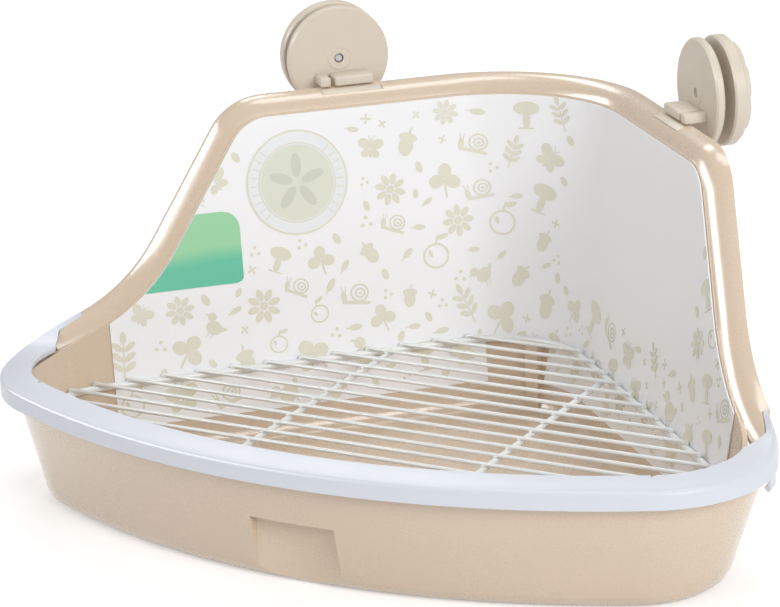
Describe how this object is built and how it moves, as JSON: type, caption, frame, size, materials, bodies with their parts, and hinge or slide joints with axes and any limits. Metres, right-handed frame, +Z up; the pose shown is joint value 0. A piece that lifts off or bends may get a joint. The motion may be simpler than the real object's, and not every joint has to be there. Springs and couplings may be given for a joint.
{
  "type": "corner litter tray",
  "caption": "Corner litter tray for small cage animals, with high back walls, clip-on rim, lift-out wire floor grid, printed liner card and two screw clamps for cage bars.",
  "frame": {"origin": "centre of the bounding box in plan, on the surface that the tray stands on", "axes": "+Z up, the curved front faces -Y, the square back corner points to +Y, X = 0 is the plane of symmetry"},
  "size_m": [0.3468, 0.263, 0.1851],
  "materials": {
    "tray_plastic": "satin beige moulded polypropylene",
    "clamp_plastic": "satin beige moulded polypropylene",
    "rim_plastic": "satin white moulded polypropylene",
    "card": "coated card, printed",
    "coated_wire": "white plastic-coated steel wire",
    "zinc_steel": "zinc plated"
  },
  "bodies": {
    "tray": {"pan": "tray_plastic", "printed_card": "card"},
    "rim": {"rim_frame": "rim_plastic"},
    "grid": {"grid_edge_wire": "coated_wire", "grid_bar_01": "coated_wire", "grid_bar_02": "coated_wire", "grid_bar_03": "coated_wire", "grid_bar_04": "coated_wire", "grid_bar_05": "coated_wire", "grid_bar_06": "coated_wire", "grid_bar_07": "coated_wire", "grid_bar_08": "coated_wire", "grid_bar_09": "coated_wire", "grid_bar_10": "coated_wire", "grid_bar_11": "coated_wire", "grid_bar_12": "coated_wire", "grid_bar_13": "coated_wire", "grid_bar_14": "coated_wire", "grid_bar_15": "coated_wire", "grid_bar_16": "coated_wire", "grid_bar_17": "coated_wire", "grid_bar_18": "coated_wire", "grid_bar_19": "coated_wire", "grid_runner_left": "coated_wire", "grid_runner_right": "coated_wire"},
    "clamp_left": {"clamp_plate_left": "clamp_plastic", "clamp_nut_left": "zinc_steel"},
    "screw_left": {"clamp_screw_left": "zinc_steel"},
    "knob_left": {"clamp_knob_left": "clamp_plastic"},
    "clamp_right": {"clamp_plate_right": "clamp_plastic", "clamp_nut_right": "zinc_steel"},
    "screw_right": {"clamp_screw_right": "zinc_steel"},
    "knob_right": {"clamp_knob_right": "clamp_plastic"}
  },
  "joints": [
    {"name": "rim_lift", "type": "slide", "parent": "tray", "child": "rim", "axis": [0, 0, 1], "range_m": [0, 0.03]},
    {"name": "grid_lift", "type": "slide", "parent": "tray", "child": "grid", "axis": [0, 0, 1], "range_m": [0, 0.06]},
    {"name": "clamp_left_lift", "type": "slide", "parent": "tray", "child": "clamp_left", "axis": [0, 0, 1], "range_m": [0, 0.02]},
    {"name": "knob_left_travel", "type": "slide", "parent": "clamp_left", "child": "screw_left", "axis": [-0.7071, 0.7071, 0], "range_m": [-0.004, 0.0024]},
    {"name": "knob_left_turn", "type": "hinge", "parent": "screw_left", "child": "knob_left", "pos_m": [-0.09451, 0.09314, 0.1615], "axis": [-0.7071, 0.7071, 0], "range_deg": [-1800, 1080]},
    {"name": "clamp_right_lift", "type": "slide", "parent": "tray", "child": "clamp_right", "axis": [0, 0, 1], "range_m": [0, 0.02]},
    {"name": "knob_right_travel", "type": "slide", "parent": "clamp_right", "child": "screw_right", "axis": [0.7071, 0.7071, 0], "range_m": [-0.004, 0.0024]},
    {"name": "knob_right_turn", "type": "hinge", "parent": "screw_right", "child": "knob_right", "pos_m": [0.09451, 0.09314, 0.1615], "axis": [0.7071, 0.7071, 0], "range_deg": [-1800, 1080]}
  ],
  "couplings": [
    {"joint": "knob_left_travel", "follows": "knob_left_turn", "m_per_rad": 0.00012732},
    {"joint": "knob_right_travel", "follows": "knob_right_turn", "m_per_rad": 0.00012732}
  ]
}
